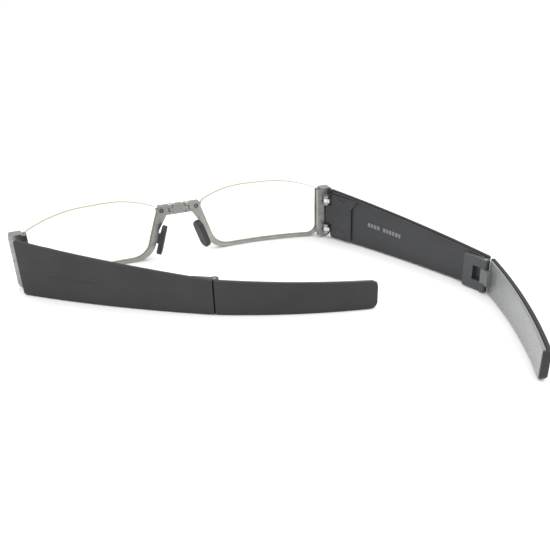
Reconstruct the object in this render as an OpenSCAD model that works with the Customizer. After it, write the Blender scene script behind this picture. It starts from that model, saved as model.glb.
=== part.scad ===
// Folding reading glasses: half-rim front with a two-pin bridge that folds forward,
// wide flat side arms and folding arm tips. Shown half folded.
// Millimetres. Front faces -Y, arms run towards +Y, +X is the wearer's left.

/* [Show] */
// Part to draw

/* [Front] */
// Width of one lens
lens_w = 52; // [46:0.5:58]
// Height of the outer end of a lens
lens_h = 21.2; // [19:0.2:23.6]
// Rise of the free top edge above the outer corner
lens_rise = 4.8; // [3:0.2:5.2]
// Gap between the two lenses at the bridge
bridge_gap = 17.2; // [16:0.2:22]
// Thickness of a lens
lens_t = 1.6; // [1.2:0.1:2.0]
// Radius of the lens curve
lens_r = 130; // [115:5:200]
// Backward lean of each half front, degrees
wrap = 4.8; // [3:0.1:8]
// Height of the rim bar
rim_h = 1.4; // [1.0:0.1:1.8]

/* [Bridge] */
// Distance between the two bridge pins
bridge_pins = 6.8; // [6.6:0.2:8]
// Height of the bridge
bridge_h = 4.0; // [3.6:0.2:5]
// Radius of a bridge pin
bridge_pin_r = 0.6; // [0.5:0.05:0.7]

/* [Arms] */
// Length of the main section of an arm, hinge pin to seam
main_len = 78; // [64:1:84]
// Length of the folding tip
tip_len = 57; // [48:1:66]
// Arm height at the front hinge
arm_h = 22.4; // [20:0.2:24]
// Arm height at the tip seam
seam_h = 13.4; // [12.4:0.2:16]
// Arm height at the end of the tip
end_h = 10.6; // [9:0.2:12]
// Thickness of the outer cover
cover_t = 1.4; // [1.1:0.1:1.8]
// Thickness of the inner lining
liner_t = 0.8; // [0.6:0.1:1.0]
// Radius of the inward curve of the main section
main_r = 430; // [300:10:800]
// Radius of the inward curve of the tip
tip_r = 220; // [200:10:400]

/* [Hinges] */
// Radius of an arm hinge pin
hinge_pin_r = 0.6; // [0.5:0.05:0.7]
// Radius of an arm hinge knuckle
knuckle_r = 1.35; // [1.3:0.05:1.6]
// Radius of a tip hinge pin
tip_pin_r = 0.5; // [0.4:0.05:0.55]
// Radial clearance of a pin in the knuckle that turns on it
pin_fit = 0.05; // [0.03:0.01:0.08]
// Gap between sliding faces of a hinge
side_gap = 0.12; // [0.1:0.02:0.2]

/* [Pose] */
// Left arm turned in from square, degrees
left_fold = 49; // [40:1:54]
// Right arm turned in from square, degrees
right_fold = -28; // [-30:1:-14]
// Left tip turned in from straight, degrees
left_tip_fold = 4; // [2:1:14]
// Right tip turned in from straight, degrees
right_tip_fold = 32; // [26:1:36]

/* [Hidden] */
steel = [0.70, 0.69, 0.66];
dark = [0.25, 0.25, 0.26];
inner_grey = [0.30, 0.31, 0.33];
rubber_grey = [0.12, 0.12, 0.13];
lens_tint = [0.93, 0.95, 0.86, 0.35];
big = 360;
mid = 64;
eps = 0.02;

// Where the centre of the resting footprint lies, seen from the bridge's middle plane.
origin_x = -14.921;
origin_y = 56.883;

// Lens frame: centre of the half front in plan, outward face towards -Y.
lens_cx = bridge_gap / 2 + lens_w / 2 * cos(wrap);
front_y = -9.8;
lens_cy = front_y + lens_w / 2 * sin(wrap);
sag = lens_w * lens_w / 8 / lens_r;
shell_y = lens_r - sag;
shell_z = 11;
rim_front = 1.4;
rim_back = 0.7;
lens_bottom = rim_h;
lens_top = lens_bottom + lens_h;
nose_run = 0.314 * lens_h;
lens_pts = [[-lens_w / 2 + nose_run, lens_bottom],
  [lens_w / 2, lens_bottom],
  [lens_w / 2, lens_top],
  [lens_w * 0.25, lens_top + lens_rise],
  [-lens_w * 0.28, lens_top + lens_rise + 0.2],
  [-lens_w / 2, lens_top + 0.1]];
lens_rad = [8, 4, 0.8, lens_w * lens_w / 49, lens_w * lens_w / 64, 3];
nose_lean = atan(nose_run / lens_h);
nose_extra = 1.2;

// Bridge
arm_half = 1.4;
bridge_r = 1.45;
bridge_top = lens_top + 0.3;
bridge_bottom = bridge_top - bridge_h;
pin_bx = bridge_pins / 2;
tongue_bh = bridge_h * 0.4;
tongue_bz = bridge_bottom + (bridge_h - tongue_bh) / 2;
screw_head = 0.35;
pad_back = 2.4;

// Front hinge pin line and arm layers, measured inwards from the outer face.
cover_out = 3.3;
cover_in = cover_out - cover_t;
liner_in = cover_in - liner_t;
plate_t = 0.75;
plate_in = liner_in - plate_t;
end_out = lens_cx + lens_w / 2 * cos(wrap) + 6.3;
pin_x = end_out - cover_out;
pin_y = 0;
end_back = -1.6;
end_front = -6.4;
main_cx = cover_out - cover_t / 2 - main_r;
tip_cx = cover_out - cover_t / 2 - tip_r;
lug_t = 1.1;
leaf_t = 1.6;
station_h = 2 * lug_t + leaf_t + 2 * side_gap;
station_low = 2.6;
station_high = arm_h - 2.6 - station_h;
plate_len = 13;

// Tip hinge, in the frame of the seam.
tip_ax = liner_in - 1.0;
fork_r = 1.5;
fork_in = tip_ax - 0.9;
fork_len = 8.5;
seam_gap = 0.24;
liner_stop = 1.5;
fork_low = 0.4;
fork_arm = 3.5;
fork_top = seam_h - 0.4;
tongue_low = fork_low + fork_arm + side_gap;
tongue_top = fork_top - fork_arm - side_gap;
seam_angle = main_len / main_r * 180 / PI;
tip_in_r = 1 / (1 / tip_r + 0.0002);
tip_solid = 1;

function unit(v) = v / norm(v);
function arc_points(c, r, a, d, n) =
  [for (i = [0:n]) c + r * [cos(a + d * i / n), sin(a + d * i / n)]];
function wrap_angle(d) = d > 180 ? d - 360 : (d < -180 ? d + 360 : d);
function corner(p0, p1, p2, r, n) =
  let (a = unit(p0 - p1), b = unit(p2 - p1), h = acos(a * b) / 2)
  let (c = p1 + unit(a + b) * (r / sin(h)))
  let (s = p1 + a * (r / tan(h)) - c, e = p1 + b * (r / tan(h)) - c)
  let (a0 = atan2(s.y, s.x), a1 = atan2(e.y, e.x))
  arc_points(c, r, a0, wrap_angle(a1 - a0), n);
function rounded(p, r, n = 8) =
  let (m = len(p))
  [for (i = [0:m - 1]) each corner(p[(i + m - 1) % m], p[i], p[(i + 1) % m], r[i], n)];
function left_normal(a, b) = let (e = unit(b - a)) [-e.y, e.x];
function inset(p, d) =
  let (m = len(p))
  [for (i = [0:m - 1])
    let (n1 = left_normal(p[(i + m - 1) % m], p[i]), n2 = left_normal(p[i], p[(i + 1) % m]))
    p[i] + d * (n1 + n2) / (1 + n1 * n2)];
function arm_top(y) = arm_h + (seam_h - arm_h) * y / main_len;
function tip_top(y) = seam_h + (end_h - seam_h) * y / tip_len;

// Stands a flat X-Z outline up as a slab through the lens frame.
module stand(depth = 30) {
  rotate([90, 0, 0])
    linear_extrude(depth, center = true)
      children();
}

module lens_frame() {
  translate([lens_cx, lens_cy, 0])
    rotate([0, 0, wrap])
      children();
}

module shell(back, front) {
  translate([0, shell_y, shell_z])
    difference() {
      sphere(r = lens_r + front, $fn = big);
      sphere(r = lens_r - back, $fn = big);
    }
}

module lens_outline(d) {
  polygon(rounded(inset(lens_pts, d), [for (r = lens_rad) max(0.3, r - d)]));
}

module rim_shape() {
  difference() {
    union() {
      lens_frame()
        intersection() {
          shell(rim_back, rim_front);
          stand()
            difference() {
              union() {
                lens_outline(-rim_h);
                translate([-nose_extra, 0])
                  lens_outline(-rim_h);
              }
              lens_outline(-eps);
              translate([-lens_w, lens_top - 0.6])
                square([2 * lens_w, 20]);
            }
        }
      bridge_arm();
      gusset();
    }
    translate([pin_bx, front_y, tongue_bz - side_gap])
      cylinder(r = bridge_r + 0.3, h = tongue_bh + 2 * side_gap, $fn = mid);
    translate([pin_bx - 4, front_y - 3, tongue_bz - side_gap])
      cube([4, 6, tongue_bh + 2 * side_gap]);
    translate([pin_bx - 4, front_y - 3, tongue_bz - side_gap])
      cube([4 + bridge_r + 0.3, 3, tongue_bh + 2 * side_gap]);
    translate([pin_bx, front_y, bridge_bottom - 1])
      cylinder(r = bridge_pin_r + pin_fit, h = bridge_h + 2, $fn = mid);
  }
}

// Curved web between the bridge and the nose side of a rim.
module gusset() {
  reach = bridge_gap / 2 - rim_h - nose_extra;
  top = bridge_bottom + 0.3;
  fall = 6;
  foot = reach + (fall + lens_top - bridge_bottom) * tan(nose_lean);
  run = foot - pin_bx - 1.9;
  translate([0, front_y, 0])
    rotate([90, 0, 0])
      linear_extrude(2.2, center = true)
        polygon(concat([[foot + 0.8, bridge_bottom - fall], [reach + 1.6, top], [pin_bx + 1.9, top]],
          [for (i = [0:12]) [foot - run * cos(i * 7.5), bridge_bottom - fall * (1 - sin(90 - i * 7.5))]]));
}

module bridge_arm() {
  reach = bridge_gap / 2 - pin_bx + 0.1;
  translate([pin_bx, front_y - arm_half, bridge_bottom])
    cube([reach, 2 * arm_half, bridge_h]);
  translate([pin_bx, front_y, bridge_bottom])
    cylinder(r = bridge_r, h = bridge_h, $fn = mid);
}

module lens_shape() {
  lens_frame()
    intersection() {
      shell(lens_t / 2 - 0.1, lens_t / 2 + 0.1);
      stand()
        lens_outline(eps);
    }
}

module link_tongue(side) {
  translate([side * pin_bx, front_y, tongue_bz])
    cylinder(r = bridge_r, h = tongue_bh, $fn = mid);
  translate([min(0, side * pin_bx), front_y - arm_half, tongue_bz])
    cube([pin_bx, 2 * arm_half, tongue_bh]);
}

module link_shape() {
  difference() {
    union() {
      difference() {
        translate([-pin_bx, front_y - arm_half, bridge_bottom])
          cube([2 * pin_bx, 2 * arm_half, bridge_h]);
        for (s = [-1, 1])
          translate([s * pin_bx, front_y, bridge_bottom - 1]) {
            cylinder(r = bridge_r + 0.25, h = bridge_h + 2, $fn = mid);
            translate([-bridge_r - 0.25, -3, 0])
              cube([2 * bridge_r + 0.5, 3, bridge_h + 2]);
          }
      }
      link_tongue(-1);
      link_tongue(1);
    }
    for (s = [-1, 1])
      translate([s * pin_bx, front_y, bridge_bottom - 1])
        cylinder(r = bridge_pin_r + eps, h = bridge_h + 2, $fn = mid);
  }
}

module bridge_pin(side) {
  translate([side * pin_bx, front_y, bridge_bottom + 0.05])
    cylinder(r = bridge_pin_r, h = bridge_h, $fn = mid);
  translate([side * pin_bx, front_y, bridge_top + 0.05])
    cylinder(r = bridge_pin_r + 0.45, h = screw_head, $fn = mid);
}

module pad_frame() {
  mid_z = 8.8;
  edge_x = lens_cx - lens_w / 2 * cos(wrap) + tan(nose_lean) * (lens_top - mid_z) - rim_h - nose_extra;
  translate([edge_x - 1.75, front_y + pad_back, mid_z])
    rotate([0, -nose_lean, 0])
      children();
}

module stadium(w, l) {
  square([w, l - w], center = true);
  translate([0, (l - w) / 2])
    circle(d = w, $fn = mid);
  translate([0, -(l - w) / 2])
    circle(d = w, $fn = mid);
}

module pad_shape() {
  pad_frame()
    rotate([0, 0, -20])
      rotate([90, 0, 90])
        linear_extrude(2.2, center = true)
          stadium(5.8, 12.8);
}

module pad_mount_shape() {
  pad_frame()
    linear_extrude(4.4, center = true)
      polygon([[0.3, -2.6], [1.5, -2.6], [1.58, -1.1], [0.86, -1.1]]);
}

module end_piece_shape() {
  inner_x = lens_cx + lens_w / 2 * cos(wrap) + rim_h + 0.1;
  tab_x = lens_cx + lens_w / 2 * cos(wrap) - 0.4;
  difference() {
    union() {
      translate([0, (end_front + end_back) / 2, 0])
        rotate([90, 0, 0])
          linear_extrude(end_back - end_front, center = true)
            polygon(rounded([[inner_x, 0.3], [end_out, 0.3], [end_out, arm_h + 0.2],
              [inner_x, arm_h + 0.2]], [0.4, 3.2, 0.7, 0.4]));
      translate([tab_x, end_back - 1.5, 1.2])
        cube([inner_x - tab_x + 0.5, 1.5, arm_h - 1.6]);
      for (z = [station_low, station_high])
        front_lugs(z);
    }
    translate([pin_x, pin_y, 1])
      cylinder(r = hinge_pin_r + eps, h = arm_h - 2, $fn = mid);
  }
}

module front_lugs(z) {
  for (dz = [0, station_h - lug_t])
    translate([pin_x, pin_y, z + dz]) {
      cylinder(r = knuckle_r, h = lug_t, $fn = mid);
      translate([-knuckle_r, end_back - 0.2, 0])
        cube([2 * knuckle_r, -end_back + 0.2, lug_t]);
    }
}

// Curved layer of an arm: between two radii about the same centre line.
module layer(cx, r_in, r_out) {
  intersection() {
    translate([cx, 0, -2])
      difference() {
        cylinder(r = r_out, h = 32, $fn = big);
        translate([0, 0, -1])
          cylinder(r = r_in, h = 34, $fn = big);
      }
    rotate([90, 0, 90])
      translate([0, 0, -25])
        linear_extrude(50)
          children();
  }
}

module main_layer(x_in, x_out) {
  layer(main_cx, x_in - main_cx, x_out - main_cx)
    children();
}

module tip_layer(x_in, x_out) {
  layer(tip_cx, x_in - tip_cx, x_out - tip_cx)
    children();
}

seam_y = (cover_out - cover_t / 2 - main_cx) * sin(seam_angle);

module seam_frame() {
  translate([main_cx, 0, 0])
    rotate([0, 0, seam_angle])
      translate([-main_cx, 0, 0])
        children();
}

module tip_frame(fold) {
  seam_frame()
    translate([tip_ax, 0, 0])
      rotate([0, 0, fold])
        translate([-tip_ax, 0, 0])
          children();
}

module cover_shape() {
  main_layer(cover_in, cover_out)
    polygon(rounded([[0.6, 0], [seam_y, 0], [seam_y, seam_h], [0.6, arm_h]],
      [1.2, 0.3, 0.3, 0.8]));
}

module liner_shape() {
  stop = seam_y - liner_stop;
  main_layer(liner_in, cover_in - 0.02)
    polygon(rounded([[2.4, 0.5], [stop, 0.5], [stop, arm_top(stop) - 0.5],
      [2.4, arm_top(2.4) - 0.5]], [1, 0.3, 0.3, 0.6]));
}

module leaf_strip(z) {
  for (dz = [0])
    translate([0, 0, z + lug_t + side_gap]) {
      cylinder(r = knuckle_r, h = leaf_t, $fn = mid);
      translate([-1.0, 0, 0])
        cube([liner_in + 1.0 - 0.03, 2.35, leaf_t]);
    }
}

module hinge_leaf_shape() {
  difference() {
    union() {
      leaf_strip(station_low);
      leaf_strip(station_high);
    }
    translate([0, 0, 1])
      cylinder(r = hinge_pin_r + pin_fit, h = arm_h, $fn = mid);
  }
}

module hinge_plate_shape() {
  y0 = 2.45;
  difference() {
    main_layer(plate_in, liner_in - 0.02)
      union() {
        polygon(rounded([[y0, 1.4], [plate_len, 1.4], [plate_len, arm_h - 6.2],
          [plate_len + 3.2, arm_h - 2.8], [y0, arm_h - 1.6]], [0.5, 0.5, 2, 0.5, 0.5]));
        translate([-0.65, station_low + station_h + 0.3])
          square([y0 + 1.5, station_high - station_low - station_h - 0.6]);
      }
    screw_holes(0.55 + eps, 4);
  }
}

module screw_holes(r, len) {
  for (z = [station_low + station_h / 2, station_high + station_h / 2])
    translate([liner_in + 1, 7.2, z])
      rotate([0, -90, 0])
        cylinder(r = r, h = len, $fn = 32);
}

module hinge_screws_shape() {
  for (z = [station_low + station_h / 2, station_high + station_h / 2])
    translate([plate_in - 0.42, 7.2, z])
      rotate([0, 90, 0]) {
        cylinder(r = 0.95, h = 0.3, $fn = 32);
        cylinder(r = 0.55, h = 0.8, $fn = 32);
      }
}

module hinge_pins_shape() {
  for (z = [station_low, station_high])
    translate([pin_x, pin_y, z + 0.03])
      cylinder(r = hinge_pin_r, h = station_h - 0.06, $fn = mid);
}

module fork_arm_shape(z, h) {
  seam_frame() {
    difference() {
      union() {
        translate([tip_ax, 0, z])
          cylinder(r = fork_r, h = h, $fn = mid);
        translate([fork_in, -1.2, z])
          cube([liner_in - fork_in - 0.05, 1.2, h]);
        layer(main_cx, fork_in - main_cx, liner_in - 0.02 - main_cx)
          translate([-fork_len, z])
            square([fork_len, h]);
      }
      translate([tip_ax, 0, z - 1])
        cylinder(r = tip_pin_r + eps, h = h + 2, $fn = mid);
    }
  }
}

module fork_shape() {
  fork_arm_shape(fork_low, fork_arm);
  fork_arm_shape(fork_top - fork_arm, fork_arm);
  seam_frame()
    layer(main_cx, fork_in - main_cx, liner_in - 0.02 - main_cx)
      translate([-fork_len, fork_low + 0.5])
        square([fork_len - 4.6, fork_top - fork_low - 1]);
}

module tip_pin_shape() {
  seam_frame()
    translate([tip_ax, 0, fork_low + 0.05])
      cylinder(r = tip_pin_r, h = fork_top - fork_low - 0.1, $fn = mid);
}

module tongue_shape() {
  h = tongue_top - tongue_low;
  difference() {
    union() {
      translate([tip_ax, 0, tongue_low])
        cylinder(r = fork_r, h = h, $fn = mid);
      translate([fork_in, 0, tongue_low])
        cube([liner_in - fork_in - 0.05, 1.5, h]);
      tip_layer(fork_in, liner_in - 0.05)
        translate([0.3, tongue_low])
          square([4, h]);
    }
    translate([tip_ax, 0, tongue_low - 1])
      cylinder(r = tip_pin_r + pin_fit, h = h + 2, $fn = mid);
  }
}

module tip_outline(y0, y1, trim, r0, r1) {
  polygon(rounded([[y0, trim], [y1, trim], [y1, tip_top(y1) - trim],
    [y0, tip_top(y0) - trim]], [r0, r1, r1, r0]));
}

module inner_bound() {
  translate([liner_in - tip_in_r, 0, -2])
    cylinder(r = tip_in_r, h = 32, $fn = big);
}

// Everything between the flared inner face and the outer cover line.
module tip_body(x_out) {
  intersection() {
    translate([tip_cx, 0, -2])
      cylinder(r = x_out - tip_cx, h = 32, $fn = big);
    rotate([90, 0, 90])
      translate([0, 0, -25])
        linear_extrude(50)
          children();
  }
}

module tip_cover_shape() {
  tip_layer(cover_in, cover_out)
    tip_outline(seam_gap, tip_len, 0, 0.3, 2.6);
  difference() {
    tip_body(cover_in + 0.1)
      intersection() {
        tip_outline(seam_gap, tip_len, 0, 0.3, 2.6);
        translate([tip_len - tip_solid, -1])
          square([tip_solid + 1, 30]);
      }
    flare_cut();
  }
}

// Space on the inner side of the flared tip face.
module flare_cut() {
  translate([liner_in - tip_in_r, 0, -3])
    cylinder(r = tip_in_r, h = 34, $fn = big);
}

module tip_liner_shape() {
  difference() {
    tip_body(cover_in - 0.02)
      tip_outline(liner_stop, tip_len - tip_solid - 0.15, 0.25, 0.3, 1);
    flare_cut();
  }
}

module place() {
  translate([-origin_x, -origin_y, 0])
    children();
}

module left_arm_frame() {
  translate([pin_x, pin_y, 0])
    rotate([0, 0, left_fold])
      children();
}

module right_arm_frame() {
  mirror([1, 0, 0])
    translate([pin_x, pin_y, 0])
      rotate([0, 0, right_fold])
        children();
}

module left_rim() {
  color(steel)
    place()
      rim_shape();
}

module left_lens() {
  color(lens_tint)
    place()
      lens_shape();
}

module left_end_piece() {
  color(steel)
    place()
      end_piece_shape();
}

module left_nose_pad() {
  color(rubber_grey)
    place()
      pad_shape();
}

module left_pad_mount() {
  color(steel)
    place()
      pad_mount_shape();
}

module bridge_link() {
  color(steel)
    place()
      link_shape();
}

module bridge_screws() {
  color(steel)
    place()
      { bridge_pin(1); bridge_pin(-1); }
}

module right_rim() {
  color(steel)
    place()
      mirror([1, 0, 0]) rim_shape();
}

module right_lens() {
  color(lens_tint)
    place()
      mirror([1, 0, 0]) lens_shape();
}

module right_end_piece() {
  color(steel)
    place()
      mirror([1, 0, 0]) end_piece_shape();
}

module right_nose_pad() {
  color(rubber_grey)
    place()
      mirror([1, 0, 0]) pad_shape();
}

module right_pad_mount() {
  color(steel)
    place()
      mirror([1, 0, 0]) pad_mount_shape();
}

module left_hinge_pins() {
  color(steel)
    place()
      hinge_pins_shape();
}

module right_hinge_pins() {
  color(steel)
    place()
      mirror([1, 0, 0]) hinge_pins_shape();
}

module left_arm_cover() {
  color(dark)
    place()
      left_arm_frame() cover_shape();
}

module left_arm_liner() {
  color(inner_grey)
    place()
      left_arm_frame() liner_shape();
}

module left_hinge_leaf() {
  color(steel)
    place()
      left_arm_frame() hinge_leaf_shape();
}

module left_hinge_plate() {
  color(dark)
    place()
      left_arm_frame() hinge_plate_shape();
}

module left_hinge_screws() {
  color(steel)
    place()
      left_arm_frame() hinge_screws_shape();
}

module left_tip_fork() {
  color(dark)
    place()
      left_arm_frame() fork_shape();
}

module left_tip_pin() {
  color(steel)
    place()
      left_arm_frame() tip_pin_shape();
}

module left_tip_cover() {
  color(dark)
    place()
      left_arm_frame() tip_frame(left_tip_fold) tip_cover_shape();
}

module left_tip_liner() {
  color(inner_grey)
    place()
      left_arm_frame() tip_frame(left_tip_fold) tip_liner_shape();
}

module left_tip_tongue() {
  color(dark)
    place()
      left_arm_frame() tip_frame(left_tip_fold) tongue_shape();
}

module right_arm_cover() {
  color(dark)
    place()
      right_arm_frame() cover_shape();
}

module right_arm_liner() {
  color(inner_grey)
    place()
      right_arm_frame() liner_shape();
}

module right_hinge_leaf() {
  color(steel)
    place()
      right_arm_frame() hinge_leaf_shape();
}

module right_hinge_plate() {
  color(dark)
    place()
      right_arm_frame() hinge_plate_shape();
}

module right_hinge_screws() {
  color(steel)
    place()
      right_arm_frame() hinge_screws_shape();
}

module right_tip_fork() {
  color(dark)
    place()
      right_arm_frame() fork_shape();
}

module right_tip_pin() {
  color(steel)
    place()
      right_arm_frame() tip_pin_shape();
}

module right_tip_cover() {
  color(dark)
    place()
      right_arm_frame() tip_frame(right_tip_fold) tip_cover_shape();
}

module right_tip_liner() {
  color(inner_grey)
    place()
      right_arm_frame() tip_frame(right_tip_fold) tip_liner_shape();
}

module right_tip_tongue() {
  color(dark)
    place()
      right_arm_frame() tip_frame(right_tip_fold) tongue_shape();
}

left_rim();
left_lens();
left_end_piece();
left_nose_pad();
left_pad_mount();
bridge_link();
bridge_screws();
right_rim();
right_lens();
right_end_piece();
right_nose_pad();
right_pad_mount();
left_arm_cover();
left_arm_liner();
left_hinge_leaf();
left_hinge_plate();
left_hinge_screws();
left_hinge_pins();
left_tip_fork();
left_tip_pin();
left_tip_cover();
left_tip_liner();
left_tip_tongue();
right_arm_cover();
right_arm_liner();
right_hinge_leaf();
right_hinge_plate();
right_hinge_screws();
right_hinge_pins();
right_tip_fork();
right_tip_pin();
right_tip_cover();
right_tip_liner();
right_tip_tongue();
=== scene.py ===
import bpy
import bmesh
import math
from mathutils import Matrix, Vector


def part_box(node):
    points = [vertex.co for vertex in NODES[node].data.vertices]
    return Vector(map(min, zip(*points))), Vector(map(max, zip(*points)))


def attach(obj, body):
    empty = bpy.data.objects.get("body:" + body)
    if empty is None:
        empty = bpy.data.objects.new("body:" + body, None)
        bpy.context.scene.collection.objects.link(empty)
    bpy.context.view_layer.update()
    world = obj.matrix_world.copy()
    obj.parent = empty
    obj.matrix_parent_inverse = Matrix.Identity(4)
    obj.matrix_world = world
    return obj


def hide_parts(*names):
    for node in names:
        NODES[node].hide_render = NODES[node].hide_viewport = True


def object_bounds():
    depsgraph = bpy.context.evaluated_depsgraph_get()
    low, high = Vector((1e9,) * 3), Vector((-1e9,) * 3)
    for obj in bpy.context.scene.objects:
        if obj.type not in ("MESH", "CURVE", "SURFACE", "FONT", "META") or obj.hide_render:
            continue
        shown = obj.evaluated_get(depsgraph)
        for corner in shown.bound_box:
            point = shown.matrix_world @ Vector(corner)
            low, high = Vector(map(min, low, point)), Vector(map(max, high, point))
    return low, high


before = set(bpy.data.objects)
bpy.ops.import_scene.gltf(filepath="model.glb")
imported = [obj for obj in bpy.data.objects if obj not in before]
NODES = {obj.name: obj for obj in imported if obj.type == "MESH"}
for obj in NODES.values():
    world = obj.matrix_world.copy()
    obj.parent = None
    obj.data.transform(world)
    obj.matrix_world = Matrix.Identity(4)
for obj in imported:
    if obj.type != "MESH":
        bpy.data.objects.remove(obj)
CAD_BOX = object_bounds()
MM = 0.001
SIDES = ("left", "right")

# Sizes of the arms, in millimetres, as the part's source has them.
MAIN_LEN, TIP_LEN = 78.0, 57.0
ARM_H, SEAM_H, END_H = 22.4, 13.4, 10.6
COVER_OUT, COVER_T, LINER_T = 3.3, 1.4, 0.8
COVER_IN = COVER_OUT - COVER_T
LINER_IN = COVER_IN - LINER_T
MAIN_R, TIP_R = 430.0, 220.0
TIP_IN_R = 1 / (1 / TIP_R + 0.0002)
MAIN_CX = COVER_OUT - COVER_T / 2 - MAIN_R
TIP_CX = COVER_OUT - COVER_T / 2 - TIP_R
SEAM_A = math.degrees(MAIN_LEN / MAIN_R)
SEAM_Y = (COVER_OUT - COVER_T / 2 - MAIN_CX) * math.sin(math.radians(SEAM_A))
TIP_AX = LINER_IN - 1.0
TIP_SOLID = 1.0
FOLD = {"left": 49.0, "right": -28.0}
TIP_FOLD = {"left": 4.0, "right": 32.0}

# Sizes of the front, in millimetres.
LENS_W, LENS_H, LENS_RISE, LENS_R, WRAP = 52.0, 21.2, 4.8, 130.0, 4.8
BRIDGE_GAP, RIM_H = 17.2, 1.4
LENS_BACK, LENS_FRONT = 0.7, 0.9
PAD_W, PAD_L, PAD_T = 5.8, 12.8, 2.2
PAD_LEAN, PAD_TURN = 17.44, -20

# Screws: shank radius, head radius and head height, in millimetres.
PLATE_SCREW = (0.55, 0.95, 0.3)
BRIDGE_PIN = (0.6, 1.05, 0.35)
SMOOTH_LIMIT = math.radians(32)
FIT = 0.02

# The camera: its place from the bridge, its turns, and its focal length in frame widths.
CAM_X, CAM_Y, CAM_Z = 49.47, 242.0 + 9.8, 110.64
YAW, PITCH, ROLL = math.radians(19.95), math.radians(25.77), math.radians(-1.95)
FOCAL_PX, FRAME_PX, SENSOR = 640.9, 550, 36


# ---------------------------------------------------------------- placing
def mid(node):
    lo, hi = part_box(node)
    return (lo + hi) / 2


def turn_about(px, py, deg):
    t = Matrix.Translation((px, py, 0))
    return t @ Matrix.Rotation(math.radians(deg), 4, "Z") @ Matrix.Translation((-px, -py, 0))


def arm_matrix(side):
    """Arm-local millimetres to the row frame, in metres. Local X is outwards, Y along the arm."""
    pin = mid(side + "_hinge_pins")
    flip = Matrix.Diagonal((1 if side == "left" else -1, 1, 1, 1))
    base = Matrix.Translation((pin.x, pin.y, 0)) @ flip
    return base @ Matrix.Rotation(math.radians(FOLD[side]), 4, "Z") @ Matrix.Diagonal((MM, MM, MM, 1))


def tip_matrix(side):
    return arm_matrix(side) @ turn_about(MAIN_CX, 0, SEAM_A) @ turn_about(TIP_AX, 0, TIP_FOLD[side])


def arc_x(cx, r, y):
    return cx + math.sqrt(max(r * r - y * y, 0))


def ease(d, r):
    """How far a rounded edge of radius r has drawn in at distance d from its end."""
    if d >= r:
        return 0.0
    return r - math.sqrt(max(r * r - (r - d) ** 2, 0.0))


# ---------------------------------------------------------------- mesh helpers
def new_object(name, bm, matrix=None, smooth=True):
    mesh = bpy.data.meshes.new(name)
    bmesh.ops.recalc_face_normals(bm, faces=bm.faces)
    bm.to_mesh(mesh)
    bm.free()
    if matrix is not None:
        mesh.transform(matrix)
        if matrix.determinant() < 0:
            mesh.flip_normals()
    for p in mesh.polygons:
        p.use_smooth = smooth
    obj = bpy.data.objects.new(name, mesh)
    bpy.context.scene.collection.objects.link(obj)
    return obj


def bake_modifiers(obj):
    dg = bpy.context.evaluated_depsgraph_get()
    mesh = bpy.data.meshes.new_from_object(obj.evaluated_get(dg))
    obj.modifiers.clear()
    old = obj.data
    obj.data = mesh
    mesh.name = obj.name
    bpy.data.meshes.remove(old)
    return obj


def loft(name, rings, matrix):
    """Skins closed rings of points, all with the same count, and closes both ends."""
    bm = bmesh.new()
    rows = [[bm.verts.new(p) for p in ring] for ring in rings]
    n = len(rows[0])
    for a, b in zip(rows, rows[1:]):
        for i in range(n):
            bm.faces.new((a[i], a[(i + 1) % n], b[(i + 1) % n], b[i]))
    for row in (rows[0], rows[-1]):
        c = sum((v.co for v in row), Vector()) / n
        hub = bm.verts.new(c)
        for i in range(n):
            bm.faces.new((row[i], row[(i + 1) % n], hub))
    return new_object(name, bm, matrix)


def section(y, x0, x1, z0, z1, r, steps=5, sides=10):
    """Rounded rectangle across a plate at y, as a ring of points."""
    r = max(min(r, (x1 - x0) / 2 - 1e-3, (z1 - z0) / 2 - 1e-3), 1e-3)
    pts = []
    for cx, cz, a0 in ((x1 - r, z0 + r, -90), (x1 - r, z1 - r, 0), (x0 + r, z1 - r, 90), (x0 + r, z0 + r, 180)):
        for i in range(steps + 1):
            a = math.radians(a0 + 90 * i / steps)
            pts.append((cx + r * math.cos(a), cz + r * math.sin(a)))
    out = []
    for i, p in enumerate(pts):
        out.append(Vector((p[0], y, p[1])))
        q = pts[(i + 1) % len(pts)]
        if i in (steps, 3 * steps + 2):
            for k in range(1, sides):
                t = k / sides
                out.append(Vector((p[0] + (q[0] - p[0]) * t, y, p[1] + (q[1] - p[1]) * t)))
    return out


def stations(y0, y1, ends, count=44):
    """Places along a plate, closer together where its ends are rounded."""
    ys = {y0 + (y1 - y0) * i / count for i in range(count + 1)}
    for y, sign in ((y0, 1), (y1, -1)):
        for k in range(1, 9):
            ys.add(y + sign * ends * (1 - math.cos(math.radians(90 * k / 8))))
            ys.add(y + sign * 0.35 * (1 - math.cos(math.radians(90 * k / 8))))
    return sorted(ys)


def plate(name, matrix, y0, y1, x_in, x_out, low, high, corner, edge, ends, extra=()):
    """A bowed plate with rounded corners in its outline and rounded edges through its thickness."""
    c00, c01, c10, c11 = corner
    e0, e1 = ends
    rings = []
    ys = sorted(set(stations(y0, y1, max(corner)) + list(extra)))
    ys = [y for i, y in enumerate(ys) if i == 0 or y - ys[i - 1] > 1e-4]
    for y in ys:
        a, b = y - y0, y1 - y
        pull = max(ease(a, e0), ease(b, e1))
        z0 = low(y) + max(ease(a, c00), ease(b, c10))
        z1 = high(y) - max(ease(a, c01), ease(b, c11))
        xi, xo = x_in(y) + min(pull, edge), x_out(y) - min(pull, edge)
        rings.append(section(y, xi, xo, z0, z1, max(edge - pull, 0.02)))
    return loft(name, rings, matrix)


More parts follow.
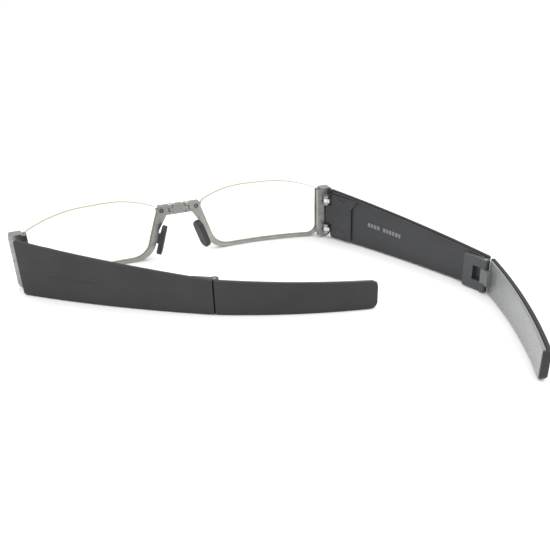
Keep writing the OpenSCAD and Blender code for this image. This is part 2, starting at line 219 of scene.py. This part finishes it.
def lathe(profile, n=40):
    """Turned solid about local Z from (radius, z) points, closed at both ends."""
    bm = bmesh.new()
    rows = []
    for r, z in profile:
        row = []
        for i in range(n):
            row.append(bm.verts.new((r * math.cos(2 * math.pi * i / n), r * math.sin(2 * math.pi * i / n), z)))
        rows.append(row)
    for a, b in zip(rows, rows[1:]):
        for i in range(n):
            bm.faces.new((a[i], a[(i + 1) % n], b[(i + 1) % n], b[i]))
    bm.faces.new(rows[0])
    bm.faces.new(rows[-1])
    return bm


def block(bm, lo, hi):
    """Adds a closed box to a mesh under construction, from its lowest to its highest corner."""
    v = [bm.verts.new((x, y, z)) for z in (lo[2], hi[2]) for y in (lo[1], hi[1]) for x in (lo[0], hi[0])]
    for f in ((0, 1, 3, 2), (4, 6, 7, 5), (0, 4, 5, 1), (2, 3, 7, 6), (0, 2, 6, 4), (1, 5, 7, 3)):
        bm.faces.new([v[i] for i in f])


def carve(obj, cutter):
    m = obj.modifiers.new("carve", "BOOLEAN")
    m.operation, m.solver, m.object = "DIFFERENCE", "EXACT", cutter
    bake_modifiers(obj)
    bpy.data.objects.remove(cutter)
    return obj


def screw(name, matrix, shank_r, head_r, head_h, length, cross=False):
    """Domed screw head with a driver recess on a plain shank. Local Z points out of the head."""
    prof = [(shank_r, -length), (shank_r, 0), (head_r, 0), (head_r, head_h * 0.45)]
    for k in range(1, 7):
        a = math.radians(90 * k / 6)
        prof.append((head_r * (0.62 + 0.38 * math.cos(a)), head_h * (0.45 + 0.55 * math.sin(a))))
    prof.append((head_r * 0.2, head_h * 1.0 + 0.004))
    obj = new_object(name, lathe(prof))
    cut = bmesh.new()
    w = head_r * 0.16
    block(cut, (-2 * head_r, -w, head_h * 0.45), (2 * head_r, w, head_h * 3))
    obj = carve(obj, new_object(name + "_cut", cut))
    if cross:
        cut = bmesh.new()
        block(cut, (-w, -2 * head_r, head_h * 0.45), (w, 2 * head_r, head_h * 3))
        obj = carve(obj, new_object(name + "_cut", cut))
    obj.data.transform(matrix)
    for p in obj.data.polygons:
        p.use_smooth = True
    obj.data.set_sharp_from_angle(angle=SMOOTH_LIMIT)
    return obj


def join(name, objs):
    bm = bmesh.new()
    for o in objs:
        bm.from_mesh(o.data)
        bpy.data.objects.remove(o)
    mesh = bpy.data.meshes.new(name)
    bm.to_mesh(mesh)
    bm.free()
    obj = bpy.data.objects.new(name, mesh)
    bpy.context.scene.collection.objects.link(obj)
    return obj


# ---------------------------------------------------------------- materials
class Mat:
    def __init__(self, name):
        self.m = bpy.data.materials.new(name)
        self.m.use_nodes = True
        self.t = self.m.node_tree
        self.t.nodes.clear()
        self.out = self.n("ShaderNodeOutputMaterial")
        self.p = self.n("ShaderNodeBsdfPrincipled")
        self.l(self.p.outputs[0], self.out.inputs[0])
        self.coord = self.n("ShaderNodeTexCoord").outputs["Object"]

    def n(self, kind, **props):
        node = self.t.nodes.new(kind)
        for k, v in props.items():
            setattr(node, k, v)
        return node

    def l(self, a, b):
        self.t.links.new(a, b)

    def noise(self, scale, detail=4.0, rough=0.55, stretch=(1, 1, 1), turn=0.0):
        mp = self.n("ShaderNodeMapping")
        mp.inputs["Scale"].default_value = stretch
        mp.inputs["Rotation"].default_value = (0, 0, math.radians(turn))
        self.l(self.coord, mp.inputs["Vector"])
        t = self.n("ShaderNodeTexNoise")
        t.inputs["Scale"].default_value = scale
        t.inputs["Detail"].default_value = detail
        t.inputs["Roughness"].default_value = rough
        self.l(mp.outputs[0], t.inputs["Vector"])
        return t.outputs["Fac"]

    def ramp(self, fac, a, b, lo=0.0, hi=1.0):
        r = self.n("ShaderNodeMapRange")
        r.inputs["From Min"].default_value = a
        r.inputs["From Max"].default_value = b
        r.inputs["To Min"].default_value = lo
        r.inputs["To Max"].default_value = hi
        self.l(fac, r.inputs["Value"])
        return r.outputs[0]

    def math(self, op, a, b):
        m = self.n("ShaderNodeMath", operation=op)
        for s, v in ((m.inputs[0], a), (m.inputs[1], b)):
            if isinstance(v, (int, float)):
                s.default_value = v
            else:
                self.l(v, s)
        return m.outputs[0]

    def mix(self, fac, a, b):
        m = self.n("ShaderNodeMix", data_type="RGBA")
        colours = {x.name: x for x in m.inputs if x.type == "RGBA"}
        for sock, v in ((m.inputs["Factor"], fac), (colours["A"], a), (colours["B"], b)):
            if hasattr(v, "is_linked"):
                self.l(v, sock)
            else:
                sock.default_value = (*v, 1) if isinstance(v, tuple) else v
        return [o for o in m.outputs if o.type == "RGBA"][0]

    def edges(self, radius):
        """1 on convex and concave edges, 0 on open faces."""
        bev = self.n("ShaderNodeBevel", samples=6)
        bev.inputs["Radius"].default_value = radius
        geo = self.n("ShaderNodeNewGeometry")
        dot = self.n("ShaderNodeVectorMath", operation="DOT_PRODUCT")
        self.l(bev.outputs[0], dot.inputs[0])
        self.l(geo.outputs["Normal"], dot.inputs[1])
        return self.ramp(dot.outputs["Value"], 1.0, 0.86)

    def bump(self, height, dist, strength=1.0, chain=None):
        b = self.n("ShaderNodeBump")
        b.inputs["Strength"].default_value = strength
        b.inputs["Distance"].default_value = dist
        self.l(height, b.inputs["Height"])
        if chain is not None:
            self.l(chain, b.inputs["Normal"])
        return b.outputs[0]

    def base(self, v):
        self.l(v, self.p.inputs["Base Color"])

    def rough(self, v):
        self.l(v, self.p.inputs["Roughness"])

    def normal(self, v):
        self.l(v, self.p.inputs["Normal"])

    def set(self, **kv):
        for k, v in kv.items():
            self.p.inputs[k.replace("_", " ")].default_value = v


def metal(name, bright, dull, r0, r1, turn=0.0, streak=1.0):
    m = Mat(name)
    m.set(Metallic=1.0)
    fine = m.noise(1.0, 6, 0.6, (90, 3800, 3800), turn)
    broad = m.noise(1.0, 3, 0.5, (40, 260, 260), turn)
    cloud = m.noise(140, 3)
    worn = m.math("MULTIPLY", m.edges(0.00022), m.ramp(m.noise(900, 4), 0.35, 0.65))
    col = m.mix(m.ramp(fine, 0.3, 0.7), dull, bright)
    col = m.mix(m.ramp(cloud, 0.35, 0.75, 0, 0.35), col, tuple(c * 0.72 for c in dull))
    col = m.mix(m.math("MULTIPLY", worn, 0.6), col, tuple(min(1, c * 1.25) for c in bright))
    m.base(col)
    ro = m.math("ADD", m.ramp(fine, 0.3, 0.7, r1, r0), m.ramp(broad, 0.3, 0.7, -0.04, 0.05))
    m.rough(m.math("SUBTRACT", ro, m.math("MULTIPLY", worn, 0.08)))
    m.normal(m.bump(fine, 0.000012 * streak, 0.9, m.bump(cloud, 0.00002, 0.5)))
    return m.m


def plastic(name, dark, light, r0, r1, grain, depth, wear, spec=0.5, coat=0.0):
    m = Mat(name)
    m.set(Specular_IOR_Level=spec, Coat_Weight=coat, Coat_Roughness=0.22)
    grain_h = m.noise(grain, 5, 0.65)
    pits = m.n("ShaderNodeTexVoronoi", feature="F1")
    pits.inputs["Scale"].default_value = grain * 0.8
    m.l(m.coord, pits.inputs["Vector"])
    smear = m.noise(1.0, 4, 0.6, (60, 60, 260))
    cloud = m.noise(55, 3)
    scuff = m.noise(1.0, 5, 0.7, (500, 500, 9000), 20)
    edge = m.math("MULTIPLY", m.edges(0.0003), m.ramp(m.noise(700, 5), 0.3, 0.7, 0.25, 1))
    col = m.mix(m.ramp(cloud, 0.3, 0.7), dark, light)
    col = m.mix(m.ramp(grain_h, 0.35, 0.7, 0, 0.4), col, tuple(c * 0.7 for c in dark))
    col = m.mix(m.math("MULTIPLY", edge, wear), col, tuple(min(1, c * 2.6 + 0.03) for c in light))
    m.base(col)
    ro = m.math("ADD", m.ramp(smear, 0.3, 0.7, r0, r1), m.ramp(scuff, 0.62, 0.8, 0, 0.07))
    m.rough(m.math("SUBTRACT", ro, m.math("MULTIPLY", edge, 0.12)))
    h = m.bump(grain_h, depth, 0.8)
    m.normal(m.bump(pits.outputs["Distance"], depth * 0.6, 0.5, h))
    return m.m


def lens_glass():
    m = Mat("lens_glass")
    m.set(Transmission_Weight=1.0, IOR=1.42, Specular_IOR_Level=0.4, Coat_Weight=0.2, Coat_Roughness=0.02)
    smudge = m.noise(70, 4)
    m.base(m.mix(m.ramp(smudge, 0.3, 0.7), (0.99, 0.993, 0.965), (0.98, 0.988, 0.95)))
    m.rough(m.ramp(m.noise(420, 5), 0.55, 0.8, 0.01, 0.035))
    m.normal(m.bump(m.noise(900, 3), 0.0000015, 0.3))
    return m.m


def lens_edge():
    m = Mat("lens_ground_edge")
    m.set(IOR=1.42)
    grind = m.noise(1.0, 4, 0.6, (1800, 9000, 1800))
    m.base(m.mix(m.ramp(grind, 0.3, 0.7), (0.34, 0.34, 0.22), (0.43, 0.43, 0.30)))
    m.rough(m.ramp(grind, 0.3, 0.7, 0.32, 0.5))
    m.normal(m.bump(grind, 0.000008, 0.6))
    return m.m


def ink():
    m = Mat("print_ink")
    speck = m.noise(5200, 4, 0.7)
    m.base(m.mix(m.ramp(speck, 0.35, 0.7), (0.23, 0.235, 0.24), (0.13, 0.135, 0.14)))
    m.rough(m.ramp(speck, 0.3, 0.7, 0.5, 0.68))
    m.normal(m.bump(speck, 0.000006))
    return m.m


STEEL = metal("rim_steel", (0.47, 0.465, 0.44), (0.30, 0.295, 0.28), 0.30, 0.44)
END_STEEL = metal("end_steel", (0.44, 0.445, 0.44), (0.27, 0.275, 0.275), 0.30, 0.42, 90)
PIN = metal("pin_steel_worn", (0.82, 0.81, 0.78), (0.62, 0.61, 0.59), 0.18, 0.28, 0, 0.5)
DARK_PIN = metal("screw_black_oxide", (0.13, 0.13, 0.135), (0.07, 0.07, 0.072), 0.32, 0.45, 0, 0.5)
LENS = lens_glass()
LENS_EDGE = lens_edge()
COVER = plastic("cover_soft_touch", (0.024, 0.024, 0.0255),
                (0.033, 0.033, 0.035), 0.50, 0.60, 3400, 0.000014, 0.35, 0.3)
INNER = plastic("inner_satin", (0.024, 0.025, 0.028),
                (0.034, 0.035, 0.038), 0.30, 0.40, 2600, 0.000006, 0.3, 0.45)
# Painted reflection: the tip lining's base colour is a much lighter grey than the arm lining's (inner_satin). The
# lighter colour stands in for the light its face reflects. The coat gives its real gloss.
TIP_LINING_PAINTED_SHEEN = plastic("tip_lining_painted_sheen", (0.16, 0.165, 0.165),
                    (0.20, 0.205, 0.205), 0.22, 0.30, 2600, 0.000004, 0.25, 0.6, 0.6)
KNUCKLE = plastic("knuckle_grey", (0.12, 0.124, 0.125),
                  (0.15, 0.154, 0.155), 0.32, 0.42, 2600, 0.000006, 0.3, 0.5)
FORK = plastic("fork_grey", (0.042, 0.044, 0.046), (0.058, 0.06, 0.062), 0.32, 0.42, 2600, 0.000008, 0.35, 0.5)
RUBBER = plastic("pad_silicone", (0.022, 0.023, 0.027),
                 (0.034, 0.036, 0.042), 0.46, 0.58, 4200, 0.000012, 0.15, 0.4)
INK = ink()
TRIM = plastic("trim_gloss_black", (0.006, 0.006, 0.007),
               (0.011, 0.011, 0.012), 0.22, 0.30, 3000, 0.000004, 0.1, 0.4)


def paint(obj, mat):
    obj.data.materials.clear()
    obj.data.materials.append(mat)
    return obj


def ride(obj, body, mat):
    paint(obj, mat)
    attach(obj, body)
    return obj


# ---------------------------------------------------------------- CAD nodes that stay, with better finishes
def refinish(node, mat):
    obj = NODES[node]
    for i in range(len(obj.data.materials)):
        obj.data.materials[i] = mat


for side in SIDES:
    refinish(side + "_rim", STEEL)
    refinish(side + "_end_piece", END_STEEL)
    refinish(side + "_pad_mount", STEEL)
    refinish(side + "_hinge_leaf", PIN)
    refinish(side + "_hinge_plate", INNER)
    refinish(side + "_hinge_pins", PIN)
    refinish(side + "_tip_fork", FORK)
    refinish(side + "_tip_tongue", KNUCKLE)
    refinish(side + "_tip_pin", PIN)
refinish("bridge_link", STEEL)


# ---------------------------------------------------------------- arms
def arm_top(y):
    return ARM_H + (SEAM_H - ARM_H) * y / MAIN_LEN


def tip_top(y):
    return SEAM_H + (END_H - SEAM_H) * y / TIP_LEN


def main_face(x):
    return lambda y: arc_x(MAIN_CX, x - MAIN_CX, y)


def tip_face(x):
    return lambda y: arc_x(TIP_CX, x - TIP_CX, y)


def tip_inner(y):
    return arc_x(LINER_IN - TIP_IN_R, TIP_IN_R, y)


for side in SIDES:
    am, tm = arm_matrix(side), tip_matrix(side)
    arm_body, tip_body = side + "_arm", side + "_tip"

    cover = plate(side + "_arm_shell", am, 0.6, SEAM_Y, main_face(COVER_IN), main_face(COVER_OUT),
                  lambda y: 0.0, arm_top, (1.2, 0.8, 0.3, 0.3), 0.32, (0.25, 0.08))
    ride(cover, arm_body, COVER)
    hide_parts(side + "_arm_cover")

    stop = SEAM_Y - 1.5
    lining = plate(side + "_arm_lining", am, 2.4, stop, main_face(LINER_IN), main_face(COVER_IN - FIT),
                   lambda y: 0.5, lambda y: arm_top(y) - 0.5, (1.0, 0.6, 0.3, 0.3), 0.22, (0.15, 0.1))
    ride(lining, arm_body, INNER)
    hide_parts(side + "_arm_liner")

    split = TIP_LEN - TIP_SOLID

    def shell_in(y):
        return tip_face(COVER_IN)(y) if y < split else tip_inner(y)

    shell = plate(side + "_tip_shell", tm, 0.24, TIP_LEN, shell_in, tip_face(COVER_OUT),
                  lambda y: 0.0, tip_top, (0.3, 0.3, 2.6, 2.6), 0.4, (0.08, 0.4), (split - 0.001, split + 0.001))
    ride(shell, tip_body, COVER)
    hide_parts(side + "_tip_cover")

    face = plate(side + "_tip_lining", tm, 1.5, split - 0.15, tip_inner, tip_face(COVER_IN - FIT),
                 lambda y: 0.25, lambda y: tip_top(y) - 0.25, (0.3, 0.3, 1.0, 1.0), 0.25, (0.15, 0.4))
    # The tip lining takes the lighter grey of painted reflection.
    ride(face, tip_body, TIP_LINING_PAINTED_SHEEN)
    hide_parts(side + "_tip_liner")

    heads = []
    lo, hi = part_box(side + "_hinge_screws")
    z_axis = (am.to_3x3() @ Vector((-1, 0, 0))).normalized()
    x_axis = Vector((0, 0, 1))
    for i, z in enumerate((lo.z + PLATE_SCREW[1] * MM, hi.z - PLATE_SCREW[1] * MM)):
        centre = am @ Vector((LINER_IN - 0.75 - 0.12, 7.2, 0))
        spin = Matrix.Rotation(math.radians(25 + 70 * i), 4, "Z")
        axes = Matrix((x_axis, z_axis.cross(x_axis), z_axis)).transposed().to_4x4()
        m = Matrix.Translation((centre.x, centre.y, z)) @ axes @ spin @ Matrix.Diagonal((MM, MM, MM, 1))
        heads.append(screw("%s_head_%d" % (side, i), m, *PLATE_SCREW, 0.5, True))
    heads = join(side + "_plate_screws", heads)
    ride(heads, arm_body, DARK_PIN)
    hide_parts(side + "_hinge_screws")


# ---------------------------------------------------------------- lenses
def unit(v):
    return v / v.length


def rounded(points, radii, n=10):
    out = []
    m = len(points)
    for i in range(m):
        p0, p1, p2 = points[i - 1], points[i], points[(i + 1) % m]
        a, b = unit(p0 - p1), unit(p2 - p1)
        h = math.acos(max(-1, min(1, a.dot(b)))) / 2
        c = p1 + unit(a + b) * (radii[i] / math.sin(h))
        s = p1 + a * (radii[i] / math.tan(h)) - c
        e = p1 + b * (radii[i] / math.tan(h)) - c
        a0, a1 = math.atan2(s.y, s.x), math.atan2(e.y, e.x)
        d = (a1 - a0 + math.pi) % (2 * math.pi) - math.pi
        out += [c + Vector((math.cos(a0 + d * k / n), math.sin(a0 + d * k / n))) * radii[i] for k in range(n + 1)]
    return out


def spread(points, gap):
    """Adds points along the long straight runs of a closed outline."""
    out = []
    for i, p in enumerate(points):
        q = points[(i + 1) % len(points)]
        n = max(1, int((q - p).length / gap))
        out += [p + (q - p) * (k / n) for k in range(n)]
    return out


def shrink(points, d):
    """Draws a closed outline in by d along its own normals."""
    out = []
    m = len(points)
    for i, p in enumerate(points):
        t = unit(points[(i + 1) % m] - points[i - 1])
        out.append(p + Vector((-t.y, t.x)) * d)
    return out


def lens(side):
    low, top = RIM_H, RIM_H + LENS_H
    w = LENS_W
    corners = [Vector(p) for p in ((-w / 2 + 0.314 * LENS_H, low), (w / 2, low), (w / 2, top),
                                   (w / 4, top + LENS_RISE), (-0.28 * w, top + LENS_RISE + 0.2),
                                   (-w / 2, top + 0.1))]
    outline = spread(rounded(corners, [8, 4, 0.8, w * w / 49, w * w / 64, 3]), 1.2)
    shell_y = LENS_R - w * w / 8 / LENS_R
    hub = Vector((0, low + LENS_H / 2 + 1))

    def put(p, r):
        return Vector((p.x, shell_y - math.sqrt(r * r - p.x ** 2 - (p.y - 11) ** 2), p.y))

    bm = bmesh.new()
    rings = []
    for scale in (0.12, 0.3, 0.5, 0.7, 0.86):
        rings.append([put(hub + (q - hub) * scale, LENS_R + LENS_FRONT) for q in shrink(outline, 0.2)])
    bevel = [(0.2, 0.0), (0.08, 0.04), (0.02, 0.16)]
    thick = LENS_FRONT + LENS_BACK
    for d, back in bevel:
        rings.append([put(q, LENS_R + LENS_FRONT - back) for q in shrink(outline, d)])
    for d, back in reversed(bevel):
        rings.append([put(q, LENS_R + LENS_FRONT - thick + back) for q in shrink(outline, d)])
    for scale in (0.86, 0.7, 0.5, 0.3, 0.12):
        rings.append([put(hub + (q - hub) * scale, LENS_R - LENS_BACK) for q in shrink(outline, 0.2)])
    rows = [[bm.verts.new(p) for p in ring] for ring in rings]
    n = len(outline)
    for k, (a, b) in enumerate(zip(rows, rows[1:])):
        for i in range(n):
            f = bm.faces.new((a[i], a[(i + 1) % n], b[(i + 1) % n], b[i]))
            f.material_index = 1 if 5 <= k <= 9 else 0
    for row, r in ((rows[0], LENS_R + LENS_FRONT), (rows[-1], LENS_R - LENS_BACK)):
        c = bm.verts.new(put(hub, r))
        for i in range(n):
            bm.faces.new((row[i], row[(i + 1) % n], c))
    s = 1 if side == "left" else -1
    b = mid("bridge_link")
    m = Matrix.Translation((b.x, b.y, 0)) @ Matrix.Diagonal((s * MM, MM, MM, 1))
    half = w / 2 * math.cos(math.radians(WRAP))
    m = m @ Matrix.Translation((BRIDGE_GAP / 2 + half, w / 2 * math.sin(math.radians(WRAP)), 0))
    m = m @ Matrix.Rotation(math.radians(WRAP), 4, "Z")
    obj = new_object(side + "_clear_lens", bm, m)
    obj.data.set_sharp_from_angle(angle=math.radians(50))
    # ride() clears the slots, which resets every face, so the edge faces are marked again after it.
    ground = [f.material_index for f in obj.data.polygons]
    ride(obj, side + "_front", LENS)
    obj.data.materials.append(LENS_EDGE)
    obj.data.polygons.foreach_set("material_index", ground)
    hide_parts(side + "_lens")


for side in SIDES:
    lens(side)


# ---------------------------------------------------------------- set screws on the back of the bridge
def set_screw(side):
    s = 1 if side == "left" else -1
    lo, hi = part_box("bridge_link")
    b = (lo + hi) / 2
    where = Vector((b.x + s * 7.3 * MM, b.y + 1.4 * MM, b.z + 0.2 * MM))
    axes = Matrix(((1, 0, 0), (0, 0, 1), (0, -1, 0))).to_4x4()
    prof = [(0.95, -0.3), (0.95, 0.05), (0.88, 0.12), (0.72, 0.12),
            (0.66, 0.02), (0.3, 0.02), (0.26, -0.12), (0.1, -0.12)]
    m = Matrix.Translation(where) @ axes @ Matrix.Diagonal((MM, MM, MM, 1))
    obj = new_object(side + "_bridge_set_screw", lathe(prof), m)
    obj.data.set_sharp_from_angle(angle=SMOOTH_LIMIT)
    ride(obj, side + "_front", DARK_PIN)


for side in SIDES:
    set_screw(side)

# ---------------------------------------------------------------- bridge screws
lo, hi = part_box("bridge_screws")
pins = []
for i, x in enumerate((lo.x + BRIDGE_PIN[1] * MM, hi.x - BRIDGE_PIN[1] * MM)):
    top = hi.z - BRIDGE_PIN[2] * MM
    m = Matrix.Translation((x, (lo.y + hi.y) / 2, top)) @ Matrix.Rotation(math.radians(35 + 80 * i), 4, "Z")
    m = m @ Matrix.Diagonal((MM, MM, MM, 1))
    pins.append(screw("bridge_pin_%d" % i, m, *BRIDGE_PIN, (top - lo.z) / MM))
pins = join("bridge_slotted_pins", pins)
ride(pins, "bridge", PIN)
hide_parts("bridge_screws")


# ---------------------------------------------------------------- nose pads
def stadium_ring(x, w, l, n=28):
    pts = []
    r = w / 2
    for i in range(n):
        a = math.radians(360 * i / n)
        c, s = math.cos(a), math.sin(a)
        pts.append(Vector((x, r * c, r * s + (l / 2 - r) * (1 if s > 0 else -1 if s < 0 else 0))))
    return pts


def pad(side):
    s = 1 if side == "left" else -1
    lo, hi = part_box(side + "_nose_pad")
    c = (lo + hi) / 2
    t = PAD_T / 2
    m = Matrix.Translation(c) @ Matrix.Diagonal((s * MM, MM, MM, 1))
    m = m @ Matrix.Rotation(-math.radians(PAD_LEAN), 4, "Y") @ Matrix.Rotation(math.radians(PAD_TURN), 4, "Z")
    rings = []
    prof = [(-t + 0.06, 1.9), (-t + 0.02, 1.3)]
    for k in range(0, 7):
        a = math.radians(90 * k / 6)
        prof.append((-t + 0.55 - 0.5 * math.cos(a), 0.5 * (1 - math.sin(a))))
    prof += [(-0.12, 0.0), (-0.05, 0.07), (0.05, 0.07), (0.12, 0.0)]
    for k in range(0, 7):
        a = math.radians(90 * k / 6)
        prof.append((t - 0.35 + 0.3 * math.sin(a), 0.3 * (1 - math.cos(a))))
    prof += [(t, 1.0), (t, 1.8)]
    for x, d in prof:
        rings.append(stadium_ring(x, PAD_W - 2 * d, PAD_L - 2 * d))
    obj = loft(side + "_silicone_pad", rings, m)
    ride(obj, side + "_front", RUBBER)
    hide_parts(side + "_nose_pad")


for side in SIDES:
    pad(side)


# ---------------------------------------------------------------- plain printed bars
def bars(name, side, x_face, sign, spans, z0, z1, lift, slope):
    """Short thin raised strips on a main arm face, in arm millimetres."""
    bm = bmesh.new()
    for y0, y1 in spans:
        n = max(2, int((y1 - y0) / 0.8))
        rows = []
        for i in range(n + 1):
            y = y0 + (y1 - y0) * i / n
            x = arc_x(MAIN_CX, x_face - MAIN_CX, y)
            dz = slope * (y - spans[0][0])
            row = []
            for zz in (z0 + dz, z1 + dz):
                for xx in (x - 0.01 * sign, x + lift * sign):
                    row.append(bm.verts.new((xx, y, zz)))
            rows.append([row[0], row[1], row[3], row[2]])
        for a, b in zip(rows, rows[1:]):
            for i in range(4):
                bm.faces.new((a[i], a[(i + 1) % 4], b[(i + 1) % 4], b[i]))
        bm.faces.new(rows[0])
        bm.faces.new(rows[-1])
    return ride(new_object(name, bm, arm_matrix(side), False), side + "_arm", INK)


marks = []
y = 21.5
for width in (1.3, 0.9, 1.3, 1.1, 0, 1.2, 0.8, 1.2, 1.0, 1.3, 0.9):
    if width:
        marks.append((y, y + width))
        y += width + 0.45
    else:
        y += 1.4
bars("right_arm_print", "right", LINER_IN, -1, marks, 10.2, 11.9, 0.02, -0.06)
trim = bars("left_arm_trim_line", "left", COVER_OUT, 1, [(7.0, 29.0), (30.2, 32.4)], 9.0, 9.9, 0.03, -0.03)
paint(trim, TRIM)

# ---------------------------------------------------------------- floor, light, camera
bm = bmesh.new()
bmesh.ops.create_grid(bm, x_segments=2, y_segments=2, size=3)
floor = new_object("floor", bm)
fm = Mat("floor_paper")
fm.base(fm.mix(fm.noise(60, 4), (0.93, 0.93, 0.93), (0.95, 0.95, 0.95)))
fm.set(Roughness=0.85, Specular_IOR_Level=0.1)
paint(floor, fm.m)
floor.location.z = CAD_BOX[0].z - 0.0002

centre = (CAD_BOX[0] + CAD_BOX[1]) / 2


def area(name, where, size, power, at=None):
    data = bpy.data.lights.new(name, "AREA")
    data.shape, data.size, data.size_y = "RECTANGLE", size[0], size[1]
    data.energy = power
    obj = bpy.data.objects.new(name, data)
    obj.location = where
    obj.rotation_euler = ((at or centre) - Vector(where)).to_track_quat("-Z", "Y").to_euler()
    bpy.context.scene.collection.objects.link(obj)
    return obj


area("top_soft", (0.0, -0.3, 2.4), (6, 6), 120.0, at=Vector((0, -0.3, 0)))
area("side_soft", (0.75, 0.45, 0.45), (0.6, 0.5), 2.2)
area("back_soft", (-0.7, 0.35, 0.5), (0.6, 0.6), 2.2)

world = bpy.data.worlds.new("studio")
bpy.context.scene.world = world
world.use_nodes = True
wt = world.node_tree
wt.nodes.clear()
out = wt.nodes.new("ShaderNodeOutputWorld")
fill = wt.nodes.new("ShaderNodeBackground")
fill.inputs["Color"].default_value = (1, 1, 1, 1)
fill.inputs["Strength"].default_value = 0.7
seen = wt.nodes.new("ShaderNodeBackground")
seen.inputs["Color"].default_value = (1, 1, 1, 1)
seen.inputs["Strength"].default_value = 1.0
path = wt.nodes.new("ShaderNodeLightPath")
blendw = wt.nodes.new("ShaderNodeMixShader")
wt.links.new(path.outputs["Is Camera Ray"], blendw.inputs[0])
wt.links.new(fill.outputs[0], blendw.inputs[1])
wt.links.new(seen.outputs[0], blendw.inputs[2])
wt.links.new(blendw.outputs[0], out.inputs[0])

bpy.context.scene.view_settings.view_transform = "Standard"

cam_data = bpy.data.cameras.new("camera")
cam = bpy.data.objects.new("camera", cam_data)
bpy.context.scene.collection.objects.link(cam)
bpy.context.scene.camera = cam
fwd = Vector((-math.sin(YAW) * math.cos(PITCH), -math.cos(YAW) * math.cos(PITCH), -math.sin(PITCH)))
right = Vector((-math.cos(YAW), math.sin(YAW), 0))
up = right.cross(fwd)
cr = right * math.cos(ROLL) + up * math.sin(ROLL)
cu = -right * math.sin(ROLL) + up * math.cos(ROLL)
bridge = mid("bridge_link")
spot = Vector((bridge.x + CAM_X * MM, bridge.y + CAM_Y * MM, CAM_Z * MM))
rot = Matrix((cr, cu, -fwd)).transposed().to_4x4()
cam.matrix_world = Matrix.Translation(spot) @ rot
cam_data.sensor_width = SENSOR
cam_data.lens = FOCAL_PX / FRAME_PX * SENSOR
cam_data.clip_start, cam_data.clip_end = 0.01, 50
